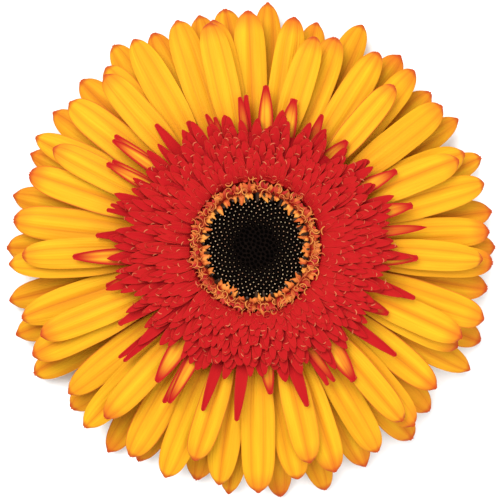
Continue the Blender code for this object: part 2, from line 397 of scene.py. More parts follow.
# %% The form of a petal
ROOT_WIDTH = 0.34             # as a share of the petal's greatest width
WIDEST, END = 0.6, 1.005      # where along it a petal is widest, and where its edges would meet
BLUNTNESS = (3.0, 4.9)        # from an oval end to a squarer one
FOLD_WIDTH = 0.17             # where half the petal's width is 1
END_DROOP = 0.0006            # how far the margins bend down at the end
WAVE_HEIGHT, WAVES = 0.0003, 1.2


def petal_outline(bluntness):
    """Width along a petal, as a share of the widest; a higher bluntness gives a squarer end."""
    def outline(share):
        swell = min(share / WIDEST, 1.0)
        body = ROOT_WIDTH + (1 - ROOT_WIDTH) * swell * swell * (3 - 2 * swell)
        past = max(share - WIDEST, 0.0) / (END - WIDEST)
        return body * math.sqrt(1 - past ** bluntness)
    return outline


def petal_tip(teeth, rounding):
    """How far the end runs out at each place across it: rounded, with three small teeth."""
    def tip(across, share):
        return (teeth * math.cos(3 * math.pi * across) - rounding * across * across) * share ** 10
    return tip


def petal_relief(folds, depth, cup, wave):
    """Height of a petal's face over its middle line: its cupped margins, slow wave and folds."""
    def relief(across, share):
        height = (cup - (cup + END_DROOP) * share) * across * across
        height += WAVE_HEIGHT * share * math.sin(FULL_TURN * (WAVES * share + wave))
        run_out = math.sin(math.pi * min(0.08 + 0.9 * share, 1.0)) ** 0.6
        for fold in folds:
            height -= depth * run_out * math.exp(-((across - fold) / FOLD_WIDTH) ** 2)
        return height
    return relief


oval_end, square_end = (petal_outline(bluntness) for bluntness in BLUNTNESS)
print("width near the end, oval and square:", round(oval_end(0.9), 2), round(square_end(0.9), 2))

# %% Dressing a whorl of petals
PETAL_SHEET = 0.00028         # thickness of a petal
SLIMMING = 0.97               # its width beside the solid's
ONE_FOLD = 0.45               # share of the petals with one fold in the middle instead of two
ONE_DEPTH, TWO_DEPTH = 0.00022, 0.00028


def make_petals(whorl, name, paint):
    """Dress one whorl of yellow petals."""
    strips = Strips()
    looks = random.Random(whorl.seed + 100)
    for curve, angle, width, sway, roll in whorl_petals(whorl):
        if looks.random() < ONE_FOLD:
            fold = looks.uniform(-0.15, 0.15)
            folds = (fold, fold)  # both in one place, which makes one deeper fold
            depth = ONE_DEPTH
        else:
            folds = (looks.uniform(-0.5, -0.3), looks.uniform(0.3, 0.5))
            depth = TWO_DEPTH
        lay_strip(
            strips, curve, angle, SLIMMING * width, petal_outline(looks.uniform(*BLUNTNESS)), (14, 28),
            sway=sway, roll=roll + math.radians(looks.uniform(-5, 5)),
            relief=petal_relief(folds, depth, looks.uniform(0.0002, 0.0008), looks.random()),
            tip=petal_tip(looks.uniform(-0.003, 0.003), looks.uniform(0.0, 0.012)),
            tint=looks.random(),
            nature=(0.5 + folds[0] / 2, 0.5 + folds[1] / 2, looks.random()),
        )
    strips.thicken(PETAL_SHEET)
    finish_piece(strips.bm, name, paint, (whorl.node,))


# %% [markdown]
# A yellow petal isn't one colour. Its face is a warm yellow with fine lengthwise fibres. Painted shade
# makes it more orange towards its margins and in its folds, with a brown painted shadow along the
# bottom of each fold, so that it looks brighter along the ridges. Towards the root it is more orange
# too, partly its own colour and partly painted shade from the petals over it. On some petals the margin
# is a thin red line. The end is flushed with red, more on some than on others, and the underside is
# paler and duller.
# The back whorl lies in the others' shade, and its paint is a darker, more orange copy of the yellow: a
# painted shade.

# %% The paint of the yellow petals
# The brown of a painted shadow along the bottom of each fold.
CREASE_SHADOW_BROWN = (0.36, 0.10, 0.007)
MARGIN_RED = (0.46, 0.08, 0.010)
FLUSH_RED = (0.54, 0.10, 0.009)
RIM_RED = (0.40, 0.035, 0.010)
BACK_BUFF = (0.62, 0.36, 0.08)


def petal_paint(name, bright, deep, orange):
    """Fibres of two yellows, a red margin and end, and a dull underside, with painted shade: orange at
    the margins, in the folds and partly at the roots, and brown in the creases.
    """
    paint, tree, shader = new_paint(name, 0.6, 0.08)
    notes = read_notes(tree)
    streak = fade(tree, fibres(tree, notes, 16.0, 1.6), 0.3, 0.7)
    broad = fade(tree, fibres(tree, notes, 4.0, 2.0), 0.35, 0.7)
    edge = margins(tree, notes)
    colour = mix(tree, times(tree, streak, 0.6), bright, deep)
    colour = mix(tree, times(tree, broad, 0.35), colour, orange)
    # Painted shade: more orange towards the margins, where a curved petal turns from the light.
    colour = mix(tree, times(tree, fade(tree, edge, 0.45, 1.0), 0.28), colour, orange)
    # Painted shade in each fold: more orange across it, and the brown painted shadow along its bottom.
    for fold in (notes.first, notes.second):
        gap = calc(tree, "ABSOLUTE", calc(tree, "SUBTRACT", notes.across, fold))
        colour = mix(tree, times(tree, fade(tree, gap, 0.20, 0.0), 0.45), colour, orange)
        colour = mix(tree, times(tree, fade(tree, gap, 0.04, 0.0), 0.22), colour, CREASE_SHADOW_BROWN)
    # More orange towards the root: partly the petal's own colour, partly painted shade from the petals
    # over it.
    colour = mix(tree, times(tree, fade(tree, notes.along, 0.60, 0.34), 0.32), colour, orange)
    line = times(tree, fade(tree, edge, 0.90, 1.0), calc(tree, "POWER", notes.tint, 2.0))
    colour = mix(tree, line, colour, MARGIN_RED)
    flush = times(tree, fade(tree, notes.along, 0.86, 1.0), notes.third)
    colour = mix(tree, times(tree, flush, 0.9), colour, FLUSH_RED)
    colour = mix(tree, times(tree, fade(tree, notes.along, 0.962, 0.996), 0.85), colour, RIM_RED)
    colour = mix(tree, times(tree, notes.under, 0.55), colour, BACK_BUFF)
    tree.links.new(colour, shader.inputs["Base Color"])
    veins = calc(tree, "SINE", times(tree, notes.across, 70.0))
    bump(tree, shader, calc(tree, "ADD", times(tree, veins, 0.3), streak), 0.00006, 0.6)
    return paint


SUN_YELLOW = petal_paint(
    "sun_yellow", (0.70, 0.385, 0.011), (0.67, 0.30, 0.008), (0.61, 0.19, 0.006)
)
# The back whorl's paint is the same yellow, darker and more orange: a painted shade for the whorl under
# the others.
SHADED_BACK_YELLOW = petal_paint(
    "shaded_back_yellow", (0.66, 0.33, 0.010), (0.61, 0.25, 0.007), (0.54, 0.15, 0.005)
)

make_petals(BACK, "back_petals", SHADED_BACK_YELLOW)
make_petals(FRONT, "front_petals", SUN_YELLOW)
make_petals(INNER, "inner_petals", SUN_YELLOW)

# %% [markdown]
# Every red floret, long or short, is a narrow strap with a shallow channel and a rounded point. Their
# red is deep and dull, like velvet, so the paint is rough and hardly shines. A shine would turn the
# red to pink. The margins are a little paler. A floret that keeps a yellow heart says so in the
# first number of its nature, and only the paint made for the long ones looks there.

# %% The form of a red floret
STRAP_SHEET = 0.00024         # thickness of a red floret


def narrow_outline(end, bluntness):
    """Width along a narrow strip with a rounded end; a higher bluntness gives a squarer one."""
    def outline(share):
        body = 0.75 + 0.25 * math.sin(math.pi * share)
        return body * math.sqrt(1 - (share / end) ** bluntness)
    return outline


def strap_tip(across, share):
    """The corners of its end fall back."""
    return -0.03 * across * across * share ** 6


def strap_relief(depth):
    """A channel down the middle, shallower towards the end."""
    def relief(across, share):
        return depth * across * across * (1 - 0.6 * share)
    return relief


strap_outline = narrow_outline(end=1.01, bluntness=4.5)
print("strap width at root, middle and end:", [round(strap_outline(x / 2), 2) for x in range(3)])

# %% The paint of a red floret
VELVET_LIGHT, VELVET_DARK = (0.38, 0.008, 0.010), (0.34, 0.006, 0.009)
VELVET_WARM = (0.40, 0.012, 0.011)
HEART_LIGHT, HEART_DARK = (0.70, 0.32, 0.018), (0.62, 0.15, 0.014)
STRAP_RIM, STRAP_BACK = (0.50, 0.04, 0.02), (0.46, 0.05, 0.02)


def red_paint(name, hearted):
    """Dull red with a paler margin; where hearted is set, a strip may have a yellow face."""
    paint, tree, shader = new_paint(name, 0.7, 0.03)
    notes = read_notes(tree)
    streak = fade(tree, fibres(tree, notes, 6.0, 2.0), 0.3, 0.75)
    edge = margins(tree, notes)
    colour = mix(tree, streak, VELVET_LIGHT, VELVET_DARK)
    colour = mix(tree, times(tree, notes.tint, 0.5), colour, VELVET_WARM)
    if hearted:
        face = times(tree, fade(tree, edge, 0.92, 0.40), fade(tree, notes.along, 0.97, 0.70))
        heart = mix(tree, streak, HEART_LIGHT, HEART_DARK)
        colour = mix(tree, times(tree, face, notes.first), colour, heart)
    colour = mix(tree, times(tree, fade(tree, edge, 0.80, 1.0), 0.25), colour, STRAP_RIM)
    colour = mix(tree, times(tree, notes.under, 0.4), colour, STRAP_BACK)
    tree.links.new(colour, shader.inputs["Base Color"])
    bump(tree, shader, streak, 0.00004, 0.5)
    return paint


# %% [markdown]
# Between the yellow petals and the red middle stand narrow florets of both colours. Some are red all
# over and some keep an orange-yellow face inside a red margin. A few are split, since a ray is made
# of petals that grew together, and sometimes not all the way. They are laid by the solids' rule too,
# a split one as two strips from one root, and their ends bend down towards the yellow petals.

# %% The florets between yellow and red
HEARTED = 0.45                # share of them with a yellow face
HEARTED_WIDTHS, PLAIN_WIDTHS = (1.2, 1.6), (0.8, 1.0)
SPLIT = 0.35                  # share of them in two lobes
LOBE_WIDTH = 0.75
TIP_SETTLE = 0.0008           # how far their tips lie below those of the solids

strips = Strips()
looks = random.Random(114)
for curve, angle, width, sway, roll in whorl_petals(TRANSITION):
    root, middle, tip = curve
    hearted = looks.random() < HEARTED
    width *= looks.uniform(*HEARTED_WIDTHS) if hearted else looks.uniform(*PLAIN_WIDTHS)
    split = looks.uniform(0.0005, 0.0009) if looks.random() < SPLIT else 0.0
    lobes = (-1, 1) if split else (0,)
    for lobe in lobes:
        reach = tip[0] - looks.uniform(0.0, 0.0012) * abs(lobe)
        lay_strip(
            strips, (root, middle, (reach, tip[1] - TIP_SETTLE + 0.0002 * lobe)), angle,
            width * (LOBE_WIDTH if lobe else 1.0), strap_outline, (8, 16),
            sway=sway + lobe * split, roll=roll + math.radians(looks.uniform(-6, 6)),
            relief=strap_relief(looks.uniform(0.0002, 0.0005)), tip=strap_tip, tint=looks.random(),
            nature=(1.0 if hearted else looks.choice((0.0, 0.0, 0.35)), 0.0, looks.random()),
        )
strips.thicken(STRAP_SHEET)
finish_piece(
    strips.bm, "transition_petals", red_paint("hearted_red_paint", True),
    ("transition_florets",),
)

# %% [markdown]
# The red middle is a low mound of short florets that lie over each other like shingles, the inner
# rows over the outer ones, so that only the ends show. Rows of strips give that from every side. The
# outer rows follow the solids' three, with rows of smaller florets between them and a thin row of
# longer ones below. The short rows step inwards along the mound and get steeper near the ring.

# %% The rows of the red mound
Row = namedtuple("Row", "count root middle tip width")
OUTER_ROWS = (
    Row(18, (0.0205, 0.0189), (0.0256, 0.0196), (0.0308, 0.0191), 0.0026),
    Row(34, (0.0205, 0.0190), (0.0248, 0.0197), (0.0288, 0.0199), 0.0024),
    Row(38, (0.0205, 0.0192), (0.0244, 0.0202), (0.0280, 0.0204), 0.0020),
    Row(34, (0.0205, 0.0195), (0.0240, 0.0207), (0.0272, 0.0209), 0.0023),
    Row(38, (0.0205, 0.0197), (0.0234, 0.0210), (0.0264, 0.0213), 0.0020),
    Row(36, (0.0205, 0.0199), (0.0228, 0.0213), (0.0256, 0.0216), 0.0021),
)
RED_OVAL = 0.05               # the mound reaches further along X than along Y
MOUND_FOOT = 0.0141           # where the innermost florets stand
MOUND_EDGE = 0.0247           # where the outermost of the short ones end
MOUND_ROWS = 13
MOUND_TOP = 0.0219            # height of their ends on the mound's crest
SHORT_LENGTH, SHORT_WIDTH = 0.0054, 0.0016
SHORT_DEPTH = 0.0017          # how far a short floret's root lies below its end


def mound_rows():
    """Every row of red florets, the outermost first."""
    yield from OUTER_ROWS
    for step in range(MOUND_ROWS):
        share = step / (MOUND_ROWS - 1)
        radius = MOUND_EDGE + (MOUND_FOOT + 0.0008 - MOUND_EDGE) * share
        height = MOUND_TOP - 0.0005 * (1 - share) ** 2 - 0.0013 * share ** 6
        root = max(radius - SHORT_LENGTH, MOUND_FOOT)
        lean = (radius - root) / SHORT_LENGTH
        yield Row(
            round(32 + 1150 * (radius - MOUND_FOOT)),
            (root, height - SHORT_DEPTH),
            (root + 0.45 * (radius - root), height - 0.0003 + 0.0004 * lean),
            (radius, height), SHORT_WIDTH * (0.7 + 0.3 * lean),
        )


print("red florets", sum(row.count for row in mound_rows()))

# %% The red florets
strips = Strips()
draw = random.Random(21)
channel = strap_relief(0.00012)
for step, row in enumerate(mound_rows()):
    for number in range(row.count):
        angle = FULL_TURN * (number + step / 2 + draw.uniform(-0.25, 0.25)) / row.count
        stretch = (1 + RED_OVAL * math.cos(2 * angle)) * draw.uniform(0.96, 1.05)
        tip = (row.tip[0] * stretch, row.tip[1] + draw.uniform(-0.0002, 0.0002))
        lay_strip(
            strips, (row.root, row.middle, tip), angle, row.width * draw.uniform(0.85, 1.15),
            strap_outline, (4, 6), sway=draw.uniform(-0.0006, 0.0006),
            roll=math.radians(draw.uniform(-6, 6)), relief=channel, tip=strap_tip,
            tint=draw.random(), nature=(0.0, 0.0, draw.random()),
        )
strips.thicken(STRAP_SHEET)
mound_surface = BVHTree.FromBMesh(strips.bm)
finish_piece(
    strips.bm, "red_petals", red_paint("floret_red_paint", False), ("red_florets",)
)

# %% [markdown]
# Under the red florets their tubes and seeds are packed into a solid ring. None of that shows but as
# a dark red between the ends, so one plain core closes the mound. A round shape like this is made
# as on a lathe: half of its section is drawn and spun round the axis. The same helper serves for the
# other round pieces below, and a soft two-toned paint for those that lie deep.

# %% Turning round pieces
def turned(profile, sides):
    """Spin a profile of (radius, height) points round the axis; one off the axis makes a ring."""
    bm = bmesh.new()
    points = [bm.verts.new((radius, 0.0, height)) for radius, height in profile]
    edges = [bm.edges.new(pair) for pair in zip(points, points[1:])]
    if profile[0][0] > 0:
        edges.append(bm.edges.new((points[-1], points[0])))
    bmesh.ops.spin(
        bm, geom=points + edges, axis=(0, 0, 1), cent=(0, 0, 0),
        angle=FULL_TURN, steps=sides, use_merge=True,
    )
    bmesh.ops.remove_doubles(bm, verts=bm.verts[:], dist=1e-7)
    bmesh.ops.recalc_face_normals(bm, faces=bm.faces[:])
    return bm


def cloudy_paint(name, first, second, scale, roughness):
    """Two tones in soft clouds, with a surface to match that hardly shines."""
    paint, tree, shader = new_paint(name, roughness, 0.03)
    cloud = fade(tree, noise(tree, object_place(tree), scale, 3.0), 0.3, 0.7)
    tree.links.new(mix(tree, cloud, first, second), shader.inputs["Base Color"])
    bump(tree, shader, cloud, 0.0001, 0.7)
    return paint


# %% The core of the mound
RED_CORE = (
    (0.0137, 0.0168), (0.0152, 0.0168), (0.0235, 0.0184), (0.0244, 0.0193), (0.0228, 0.0203),
    (0.0205, 0.0206), (0.0180, 0.0207), (0.0160, 0.0206), (0.0144, 0.0199), (0.0137, 0.0190),
)
finish_piece(
    turned(RED_CORE, 64), "red_core",
    cloudy_paint("core_red", (0.28, 0.005, 0.008), (0.36, 0.007, 0.010), 900.0, 0.7),
)

# %% [markdown]
# Each red floret holds up a thin pale style, and small curled lobes, which read as short pinkish
# strokes scattered over the red. A curl is a bent thread: a small circle spun about an axis to one
# side of it, and thinner towards both ends. It is made a few times in different sizes, and then
# copied, since a thread that is seen hundreds of times needn't be made anew each time.

# %% A curl
THREAD = 0.00022              # thickness of a curl in its middle
THREAD_TAPER = 0.5            # share of it that is gone at the ends
THREAD_STEPS = 6


def as_template(bm, name):
    """Keep a bmesh as a mesh to copy from."""
    mesh = bpy.data.meshes.new(name)
    bm.to_mesh(mesh)
    bm.free()
    print(f"{name}: {len(mesh.polygons)} faces")
    return mesh


def curl_template(size, degrees):
    """A thread bent into part of a circle, lying flat, with its middle on the origin."""
    turn = math.radians(degrees)
    bm = bmesh.new()
    ring = bmesh.ops.create_circle(bm, cap_ends=False, segments=4, radius=THREAD / 2)["verts"]
    bmesh.ops.rotate(bm, verts=ring, cent=(0, 0, 0), matrix=Matrix.Rotation(math.pi / 2, 3, "X"))
    bmesh.ops.translate(bm, verts=ring, vec=(size, 0, 0))
    bmesh.ops.spin(
        bm, geom=bm.verts[:] + bm.edges[:], axis=(0, 0, 1), cent=(0, 0, 0),
        angle=turn, steps=THREAD_STEPS, use_merge=False,
    )
    bmesh.ops.rotate(bm, verts=bm.verts[:], cent=(0, 0, 0), matrix=Matrix.Rotation(-turn / 2, 3, "Z"))
    bmesh.ops.holes_fill(bm, edges=bm.edges[:], sides=4)
    for vert in bm.verts:
        turned_by = abs(math.atan2(vert.co.y, vert.co.x)) / (turn / 2)
        middle = Vector((vert.co.x, vert.co.y, 0)).normalized() * size
        vert.co = middle + (vert.co - middle) * (1 - THREAD_TAPER * turned_by ** 2)
    bmesh.ops.translate(bm, verts=bm.verts[:], vec=(-size, 0, 0))
    bmesh.ops.recalc_face_normals(bm, faces=bm.faces[:])
    return as_template(bm, "curl_template")


CURLS = [
    curl_template(size, degrees)
    for size, degrees in ((0.0006, 100), (0.0008, 70), (0.0005, 140), (0.0011, 50))
]


# %% Copies of a template
def copy_in(strips, template, matrix, tint):
    """Add a copy of a template to the strips, placed by a matrix, and give its corners."""
    before = len(strips.bm.verts)
    strips.bm.from_mesh(template)
    strips.bm.verts.ensure_lookup_table()
    copied = strips.bm.verts[before:]
    for vert in copied:
        vert[strips.place] = (0.0, 0.0, tint)
    bmesh.ops.transform(strips.bm, matrix=matrix, verts=copied)
    return copied


def lying(point, heading, tilt, size):
    """The matrix that turns a flat piece to a heading, tips it up, scales it and puts it at a point."""
    return (
        Matrix.Translation(point) @ Matrix.Rotation(heading, 4, "Z")
        @ Matrix.Rotation(tilt, 4, "Y") @ Matrix.Scale(size, 4)
    )


# %% [markdown]
# The curls have to lie on the red florets, neither sunk in them nor floating. A ray cast down on the
# mound from above each place finds the height there. The places come from a sunflower spiral, where
# each is a golden angle on from the last, since that spreads points evenly over a ring and leaves
# no rows. Each copy has a tint of its own, and the paint runs from one colour to another by it.

# %% Even places, and a paint for copies
GOLDEN_ANGLE = math.radians(137.508)


def spiral(count, inner, outer):
    """Angle and radius of places that lie evenly over a ring."""
    for number in range(count):
        share = (number + 0.5) / count
        yield number * GOLDEN_ANGLE, math.sqrt(inner ** 2 + (outer ** 2 - inner ** 2) * share)


def tinted_paint(name, low, high, roughness, specular):
    """One of two colours, or between, as each copy's tint says."""
    paint, tree, shader = new_paint(name, roughness, specular)
    grain = noise(tree, object_place(tree), 2500.0)
    colour = mix(tree, read_notes(tree).tint, low, high)
    colour = mix(tree, times(tree, grain, 0.3), colour, low)
    tree.links.new(colour, shader.inputs["Base Color"])
    bump(tree, shader, grain, 0.00003, 0.5)
    return paint


# %% The pale curls on the red florets
CURL_COUNT = 540
CURL_INNER, CURL_OUTER = 0.0140, 0.0282
CURL_LIFT = 0.00008           # so that a curl rests on the surface under its middle
ABOVE_ALL = 0.03              # a height above the whole flower

strips = Strips()
draw = random.Random(51)
for angle, radius in spiral(CURL_COUNT, CURL_INNER, CURL_OUTER):
    radius += draw.uniform(-0.0005, 0.0005)
    angle += draw.uniform(-0.05, 0.05)
    radius *= 1 + RED_OVAL * math.cos(2 * angle)
    hit = mound_surface.ray_cast(at(radius, angle, ABOVE_ALL), -UP)[0]
    if hit is None:
        continue
    copy_in(
        strips, draw.choice(CURLS),
        lying(hit + CURL_LIFT * UP, angle + draw.gauss(0, 0.7), draw.uniform(-0.35, 0.35),
              draw.uniform(0.7, 1.2)),
        draw.random() ** 1.5,
    )
PINK = tinted_paint("curl_pink", (0.44, 0.02, 0.015), (0.60, 0.18, 0.08), 0.6, 0.1)
finish_piece(strips.bm, "red_floret_curls", PINK)

# %% [markdown]
# Round the dark disc the newest florets have just opened. They stand on a low ring. What shows of it
# between them is as black as the disc on the inner side, and red like their tubes on the outer side,
# so its paint changes with the distance from the axis, and a little cloud makes that line uneven.

# %% The floor of the ring
RING_INNER, RING_OUTER, RING_TOP = 0.0107, 0.0134, 0.0190
RING_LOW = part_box("open_disc_florets")[0].z
RED_FROM, RED_TO = 0.0115, 0.0121
RING_PROFILE = (
    (RING_INNER, RING_LOW), (RING_OUTER, RING_LOW), (RING_OUTER, RING_TOP - 0.0004),
    (0.0128, RING_TOP), (0.0114, RING_TOP), (RING_INNER, RING_TOP - 0.0004),
)


def ring_paint():
    """Black on the disc's side and red on the outer side."""
    paint, tree, shader = new_paint("ring_black_and_red", 0.8, 0.03)
    place = object_place(tree)
    flat = add(tree, "VectorMath", {0: place, 1: (1.0, 1.0, 0.0)}, operation="MULTIPLY").outputs[0]
    radius = add(tree, "VectorMath", {0: flat}, operation="LENGTH").outputs["Value"]
    cloud = noise(tree, place, 1500.0, 3.0)
    uneven = calc(tree, "ADD", radius, times(tree, cloud, 0.0008))
    tone = mix(tree, fade(tree, uneven, RED_FROM, RED_TO), (0.003, 0.002, 0.001), (0.32, 0.030, 0.010))
    tree.links.new(tone, shader.inputs["Base Color"])
    bump(tree, shader, cloud, 0.0001, 0.7)
    return paint


finish_piece(
    turned(RING_PROFILE, 64), "ring_floor", ring_paint(), ("open_disc_florets",)
)

# %% [markdown]
# From above, an open floret shows two small yellow lips that curl in over the disc, three redder
# ones that curl outwards, and beside it a dark tube of pollen sacs that leans in. The lips are short
# strips again, all from the floret's mouth, and the tubes are cones of six sides. A few florets have
# no inner lips yet, which leaves the gaps that a real ring has.

# %% The form of a lip
LIP_SHEET = 0.00018           # thickness of a lip
LIP_ROOT = 0.0006             # how far below its mouth a lip starts
lip_outline = narrow_outline(end=1.03, bluntness=5)


def lip_relief(across, share):
    """A lip's margins bend down."""
    return -0.00025 * across * across


def lay_lip(strips, mouth, height, angle, reach, middle, tip, width, cells, tint, red):
    """Lay a lip from a mouth, over a middle point, to a tip that is some way above the mouth."""
    curve = ((0.0, height - LIP_ROOT), (middle[0], height + middle[1]), (reach, height + tip))
    lay_strip(
        strips, curve, angle, width, lip_outline, cells, centre=mouth, relief=lip_relief,
        tint=tint, crowding=1.0, nature=(red, 0.0, 0.0),
    )


print("lip width at root, middle and end:", [round(lip_outline(x / 2), 2) for x in range(3)])

# %% A tube of pollen sacs
SAC_FOOT, SAC_TIP, SAC_LENGTH = 0.00036, 0.0002, 0.0016

sac_bm = bmesh.new()
bmesh.ops.create_cone(
    sac_bm, cap_ends=True, segments=6, radius1=SAC_FOOT, radius2=SAC_TIP, depth=SAC_LENGTH
)
bmesh.ops.translate(sac_bm, verts=sac_bm.verts[:], vec=(0, 0, SAC_LENGTH / 2))
SAC = as_template(sac_bm, "sac_template")

# %% The open florets
FLORETS = 38
FLORET_PLACE, SAC_PLACE = 0.0118, 0.0113
MOUTH_HEIGHT = 0.0198
SAC_SUNK = 0.0003             # how far a sac's foot lies below the mouths
LIPPED = 0.92                 # share of the florets that have their inner lips

lips = Strips()
sacs = Strips()
draw = random.Random(41)
for number in range(FLORETS):
    angle = FULL_TURN * (number + draw.uniform(-0.25, 0.25)) / FLORETS
    radius = FLORET_PLACE + draw.uniform(-0.0003, 0.0004)
    mouth = at(radius, angle)
    height = MOUTH_HEIGHT + draw.uniform(-0.0003, 0.0003)
    if draw.random() < LIPPED:
        for side in (-1, 1):
            reach = draw.uniform(0.0012, 0.0026)
            heading = angle + math.pi + side * draw.uniform(0.1, 0.7)
            width = draw.uniform(0.0007, 0.0013)
            tint = draw.random()
            lay_lip(lips, mouth, height, heading, reach, (0.0004, 0.0012), 0.0003, width, (4, 7),
                    tint, 0.0)
    for side in (-1, 0, 1):
        reach = draw.uniform(0.0016, 0.0026)
        heading = angle + side * 0.5 + draw.uniform(-0.25, 0.25)
        width = draw.uniform(0.0008, 0.0012)
        tint = draw.random()
        lay_lip(lips, mouth, height, heading, reach, (0.0007, 0.0014), 0.0010, width, (3, 6),
                tint, draw.choice((0.4, 0.9, 1.0)))
    beside = angle + math.pi / FLORETS
    foot = at(SAC_PLACE, beside, height - SAC_SUNK)
    tilt = draw.uniform(-1.1, -0.2)
    copy_in(sacs, SAC, lying(foot, beside, tilt, draw.uniform(0.9, 1.4)), draw.random())
lips.thicken(LIP_SHEET)

# %% [markdown]
# The lips are golden at their ends and red in their mouths, and no two have quite the same gold. The
# sacs are a very dark brown, with just enough shine to be told from the black behind them.

# %% The paint of the open florets
LIP_DARK, LIP_GOLD = (0.50, 0.08, 0.014), (0.72, 0.28, 0.045)
MOUTH_RED, LIP_RED = (0.42, 0.04, 0.015), (0.36, 0.009, 0.009)
LIP_RIM, LIP_BACK = (0.60, 0.16, 0.04), (0.50, 0.09, 0.02)


def lip_paint():
    """Gold that reddens into the mouth, or red all over where a lip's nature says so."""
    paint, tree, shader = new_paint("lip_gold", 0.5, 0.15)
    notes = read_notes(tree)
    colour = mix(tree, notes.tint, LIP_DARK, LIP_GOLD)
    colour = mix(tree, fade(tree, notes.along, 0.55, 0.1), colour, MOUTH_RED)
    colour = mix(tree, notes.first, colour, LIP_RED)
    rim = times(tree, fade(tree, margins(tree, notes), 0.6, 1.0), 0.35)
    colour = mix(tree, rim, colour, LIP_RIM)
    colour = mix(tree, times(tree, notes.under, 0.5), colour, LIP_BACK)
    tree.links.new(colour, shader.inputs["Base Color"])
    bump(tree, shader, fibres(tree, notes, 6.0, 2.0), 0.00005, 0.5)
    return paint


finish_piece(lips.bm, "open_floret_lips", lip_paint())
finish_piece(
    sacs.bm, "pollen_sacs",
    tinted_paint("sac_brown", (0.010, 0.006, 0.004), (0.05, 0.022, 0.010), 0.5, 0.3),
)

# %% [markdown]
# Outside the lips lies a tangle of golden stigmas, each rolled up into most of a circle. They are
# made as the pale curls are, only rounder, and scattered over the ring with no order but the even
# spread round it. They fill the dark gap that would else be seen behind the inner lips.

# %% The golden curls outside the lips
LOOP_COUNT = 210
LOOP_INNER, LOOP_OUTER, LOOP_USUAL = 0.0115, 0.0149, 0.0121
LOOP_LOW, LOOP_HIGH = 0.0205, 0.0214
LOOPS = [
    curl_template(size, degrees)
    for size, degrees in ((0.0005, 220), (0.0007, 170), (0.0009, 120))
]

strips = Strips()
draw = random.Random(61)
for number in range(LOOP_COUNT):
    angle = FULL_TURN * (number + draw.uniform(-0.4, 0.4)) / LOOP_COUNT
    radius = draw.triangular(LOOP_INNER, LOOP_OUTER, LOOP_USUAL)
    height = draw.uniform(LOOP_LOW, LOOP_HIGH)
    copy_in(
        strips, draw.choice(LOOPS),
        lying(at(radius, angle, height), draw.uniform(0, FULL_TURN), draw.uniform(-0.5, 0.5),
              draw.uniform(0.8, 1.25)),
        draw.random(),
    )
GOLD = tinted_paint("curl_gold", (0.42, 0.05, 0.015), (0.70, 0.29, 0.06), 0.45, 0.2)
finish_piece(strips.bm, "golden_curls", GOLD)

# %% [markdown]
# The disc holds some four hundred buds in crossing spirals, over a floor that is sunk a little in the
# middle. They are near black. One bud is a spun profile of a few faces, since it is copied so often:
# a rounded body, a neck, and on it the tiny knob that shows as a pale tip.

# %% The floor of the disc
DISC_RADIUS = 0.0106
DISC_CENTRE, DISC_EDGE = 0.0180, 0.0192
DISC_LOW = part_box("disc_buds")[0].z
DISC_STEPS = 8


def disc_height(radius):
    """Height of the disc, which is sunk in its middle."""
    share = min(radius / DISC_RADIUS, 1.0)
    return DISC_CENTRE + (DISC_EDGE - DISC_CENTRE) * share * share


disc_profile = [(0.0, DISC_LOW), (DISC_RADIUS, DISC_LOW)]
for step in range(DISC_STEPS, -1, -1):
    radius = DISC_RADIUS * step / DISC_STEPS
    disc_profile.append((radius, disc_height(radius) - 0.0002))
finish_piece(
    turned(disc_profile, 48), "disc_floor",
    cloudy_paint("disc_black", (0.002, 0.001, 0.001), (0.006, 0.003, 0.002), 1500.0, 0.8),
    ("disc_buds",),
)

# %% One bud
BUD_PROFILE = (
    (0.0, -0.0003), (0.00040, -0.0003), (0.00042, 0.0001), (0.00028, 0.0004), (0.00010, 0.0005),
    (0.00015, 0.00056), (0.00014, 0.00066), (0.0, 0.0007),
)
KNOB_FOOT = 0.00052           # height above which a bud's pale knob starts
BUD = as_template(turned(BUD_PROFILE, 7), "bud_template")

# %% [markdown]
# The crossing spirals come by themselves when every bud is placed a golden angle on from the last
# and the radius grows as the square root of the count. The youngest buds are in the middle. They
# are smaller and show no tips yet, so the tips fade away towards the centre.

# %% Placing the buds
BUD_COUNT = 410
DISC_FILL = 0.985             # how near to the disc's edge the buds come
TIPS_FROM, TIPS_FADE = 0.42, 0.42  # where pale tips start, and the run to full ones

strips = Strips()
draw = random.Random(71)
for number in range(BUD_COUNT):
    outness = math.sqrt((number + 0.5) / BUD_COUNT)
    radius = DISC_RADIUS * DISC_FILL * outness
    angle = number * GOLDEN_ANGLE
    point = at(radius, angle, disc_height(radius) - 0.0001)
    pale = max(0.0, min(1.0, (outness - TIPS_FROM) / TIPS_FADE)) * draw.uniform(0.4, 1.0)
    scale = 0.75 + 0.28 * outness
    tilt = draw.uniform(-0.15, 0.15)
    for vert in copy_in(strips, BUD, lying(point, angle, tilt, scale), draw.random()):
        if (vert.co - point).length > KNOB_FOOT * scale and vert.co.z > point.z:
            vert[strips.nature] = (pale, 0.0, 0.0)
print(f"{BUD_COUNT} buds")

# %% The paint of the buds
BUD_BLACK = (0.0008, 0.0005, 0.0004)
TIP_PINK, TIP_CREAM = (0.46, 0.24, 0.14), (0.48, 0.38, 0.23)


def bud_paint():
    """Near black, with a pale knob where a bud's nature says so."""
    paint, tree, shader = new_paint("bud_black_paint", 0.9, 0.01)
    notes = read_notes(tree)
    colour = mix(tree, notes.first, BUD_BLACK, mix(tree, notes.tint, TIP_PINK, TIP_CREAM))
    tree.links.new(colour, shader.inputs["Base Color"])
    bump(tree, shader, noise(tree, object_place(tree), 3000.0), 0.00003, 0.5)
    return paint


finish_piece(strips.bm, "disc_bud_heads", bud_paint())

